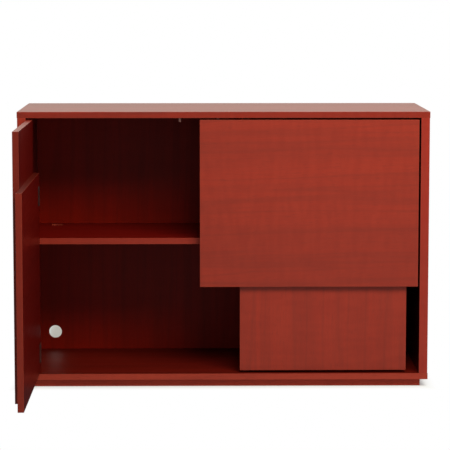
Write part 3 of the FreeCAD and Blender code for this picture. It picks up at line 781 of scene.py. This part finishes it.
@dataclass
class Studio:
    """A pale floor, one large soft light high in front, and the camera of the photograph.

    Lengths are in metres, but the lens and the sensor are in millimetres. The key's power is in
    watts.
    """

    camera_place: tuple[float, float, float] = (-0.0723, -6.3444, 1.1813)
    camera_yaw: float = math.radians(0.711)
    camera_pitch: float = math.radians(-6.538)
    lens: float = 169.0
    sensor: float = 36.0
    view_reach: float = 100.0
    key_place: tuple[float, float, float] = (0.8, -2.25, 2.4)
    key_aim: tuple[float, float, float] = (0.0, 0.0, 0.45)
    key_size: tuple[float, float] = (1.9, 1.1)
    key_power: float = 95.0
    ambient: float = 0.57
    back_colour: str = "#FFF9EC"
    back_gloss: float = 0.83
    front_gloss: float = 0.02
    gloss_turn: float = 0.3
    floor_radius: float = 9.0
    floor_corners: int = 96
    floor_paper: str = "#DAD9CC"
    floor_bounce: str = "#C8C8C8"
    floor_lift: float = 0.1
    floor_gloss: float = 0.03
    far_floor: float = 4.0
    shadow_middle: tuple[float, float, float] = (0.0, 0.7, 0.0)
    shadow_span: tuple[float, float, float] = (0.645, 1.0, 1.0)
    shadow_full: float = 0.87
    shadow_end: float = 0.98

    def build(self) -> None:
        """Builds the whole studio."""
        self.build_floor()
        self.build_world()
        self.build_key()
        self.build_camera()

    def build_floor(self) -> None:
        """Lays a round pale floor that keeps the shadow near the object and turns to white further out."""
        mesh = bpy.data.meshes.new("studio_floor")
        turns = [2 * math.pi * i / self.floor_corners for i in range(self.floor_corners)]
        rim = [(self.floor_radius * math.cos(turn), self.floor_radius * math.sin(turn), 0.0)
               for turn in turns]
        mesh.from_pydata(rim, [], [tuple(range(self.floor_corners))])
        floor = bpy.data.objects.new("studio_floor", mesh)
        bpy.context.scene.collection.objects.link(floor)
        mesh.materials.append(self.studio_paper())
        log.info("floor laid, radius %.1f m", self.floor_radius)

    def studio_paper(self) -> bpy.types.Material:
        """Builds the floor's material.

        The camera sees matt paper round the object, which takes its shadow, and plain white
        outside a box round it. Gloss sees a floor that is dim in front, as the room behind the
        camera is, and pale further back. Other rays bounce off an even grey.

        Returns:
            The material.
        """
        material, tree = new_material("pale_studio_paper")
        place = add_node(tree, "TexCoord")
        away = add_node(tree, "VectorMath", {0: place.outputs["Object"], 1: self.shadow_middle},
                        operation="SUBTRACT")
        away = add_node(tree, "VectorMath", {0: away.outputs[0], 1: self.shadow_span}, operation="DIVIDE")
        away = add_node(tree, "VectorMath", {0: away.outputs[0]}, operation="ABSOLUTE")
        away = add_node(tree, "SeparateXYZ", {0: away.outputs[0]})
        reach = add_node(tree, "Math", {0: away.outputs[0], 1: away.outputs[1]}, operation="MAXIMUM")
        fade = add_node(tree, "MapRange", {"Value": reach.outputs[0], "From Min": self.shadow_full,
                                           "From Max": self.shadow_end}, interpolation_type="SMOOTHSTEP")
        paper = add_node(tree, "BsdfDiffuse", {"Color": linear(self.floor_paper)})
        lift = add_node(tree, "Emission", {"Color": linear(WHITE), "Strength": self.floor_lift})
        near = add_node(tree, "AddShader", {0: paper.outputs[0], 1: lift.outputs[0]})
        white = add_node(tree, "Emission", {"Color": linear(WHITE), "Strength": 1.0})
        seen = add_node(tree, "MixShader", {0: fade.outputs[0], 1: near.outputs[0], 2: white.outputs[0]})
        depth = add_node(tree, "SeparateXYZ", {0: place.outputs["Object"]})
        level = add_node(tree, "MapRange", {"Value": depth.outputs[1], "From Min": 0.0,
                                            "From Max": self.far_floor, "To Min": self.floor_gloss,
                                            "To Max": 1.0})
        glossed = add_node(tree, "Emission", {"Color": linear(WHITE), "Strength": level.outputs[0]})
        rays = add_node(tree, "LightPath")
        seen = add_node(tree, "MixShader", {0: rays.outputs["Is Glossy Ray"], 1: seen.outputs[0],
                                            2: glossed.outputs[0]})
        bounce = add_node(tree, "BsdfDiffuse", {"Color": linear(self.floor_bounce)})
        shown = add_node(tree, "MixShader", {0: self.direct_rays(tree), 1: bounce.outputs[0],
                                             2: seen.outputs[0]})
        add_node(tree, "OutputMaterial", {"Surface": shown.outputs[0]})
        return material

    @staticmethod
    def direct_rays(tree: bpy.types.NodeTree) -> bpy.types.NodeSocket:
        """Tells the rays that see the background, straight or by gloss or glass, from those that light.

        Args:
            tree: the node tree to work in.

        Returns:
            A socket that is 1 for camera, glossy and transmission rays.
        """
        rays = add_node(tree, "LightPath")
        either = add_node(tree, "Math", {0: rays.outputs["Is Camera Ray"], 1: rays.outputs["Is Glossy Ray"]},
                          operation="MAXIMUM")
        return add_node(tree, "Math", {0: either.outputs[0], 1: rays.outputs["Is Transmission Ray"]},
                        operation="MAXIMUM").outputs[0]

    def build_world(self) -> None:
        """Makes a white backdrop, with a low even light from all round.

        The camera sees plain white. Gloss sees a warm white wall behind the object and a dark
        room in front of it.
        """
        world = bpy.data.worlds.new("studio")
        world.use_nodes = True
        tree = world.node_tree
        tree.nodes.clear()
        dim = add_node(tree, "Background", {"Color": linear(WHITE), "Strength": self.ambient})
        place = add_node(tree, "TexCoord")
        towards = add_node(tree, "SeparateXYZ", {0: place.outputs["Generated"]})
        level = add_node(tree, "MapRange", {"Value": towards.outputs[1], "From Min": -self.gloss_turn,
                                            "From Max": self.gloss_turn, "To Min": self.front_gloss,
                                            "To Max": self.back_gloss})
        rays = add_node(tree, "LightPath")
        strength = add_node(tree, "Mix", {0: rays.outputs["Is Glossy Ray"], 2: 1.0, 3: level.outputs[0]},
                            data_type="FLOAT")
        warmth = add_node(tree, "Mix", {0: rays.outputs["Is Glossy Ray"], 6: linear(WHITE),
                                        7: linear(self.back_colour)}, data_type="RGBA")
        white = add_node(tree, "Background", {"Color": warmth.outputs[2], "Strength": strength.outputs[0]})
        shown = add_node(tree, "MixShader", {0: self.direct_rays(tree), 1: dim.outputs[0],
                                             2: white.outputs[0]})
        add_node(tree, "OutputWorld", {"Surface": shown.outputs[0]})
        bpy.context.scene.world = world
        log.info("world set, ambient %.2f", self.ambient)

    def build_key(self) -> None:
        """Hangs the large soft light high in front of the object.

        Gloss doesn't see the lamp, whose wide highlight would lay a pale haze over the dark
        inner faces. It sees the backdrop alone.
        """
        light = bpy.data.lights.new("soft_key", "AREA")
        light.shape = "RECTANGLE"
        light.size, light.size_y = self.key_size
        light.energy = self.key_power
        lamp = bpy.data.objects.new("soft_key", light)
        lamp.location = self.key_place
        lamp.visible_glossy = False
        aim = Vector(self.key_aim) - Vector(self.key_place)
        lamp.rotation_euler = aim.to_track_quat("-Z", "Y").to_euler()
        bpy.context.scene.collection.objects.link(lamp)
        log.info("key light hung")

    def build_camera(self) -> None:
        """Sets the camera where the photograph was taken from."""
        camera = bpy.data.cameras.new("photo_camera")
        camera.sensor_fit = "HORIZONTAL"
        camera.sensor_width = self.sensor
        camera.lens = self.lens
        camera.clip_end = self.view_reach
        holder = bpy.data.objects.new("photo_camera", camera)
        holder.location = self.camera_place
        level = math.cos(self.camera_pitch)
        aim = Vector((math.sin(self.camera_yaw) * level, math.cos(self.camera_yaw) * level,
                      math.sin(self.camera_pitch)))
        holder.rotation_euler = aim.to_track_quat("-Z", "Y").to_euler()
        bpy.context.scene.collection.objects.link(holder)
        bpy.context.scene.camera = holder
        log.info("camera set")


def main() -> None:
    """Loads the frame, dresses every part of the sideboard and sets up the studio."""
    logging.basicConfig(level=logging.INFO, format="%(name)s: %(message)s")
    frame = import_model()
    bpy.context.scene.view_settings.view_transform = "Standard"
    finishes = Finishes()
    for assembly in (Carcass(), Plinth(), Doors(), Hardware()):
        assembly.dress(frame, finishes)
    Studio().build()


if __name__ == "__main__":
    main()
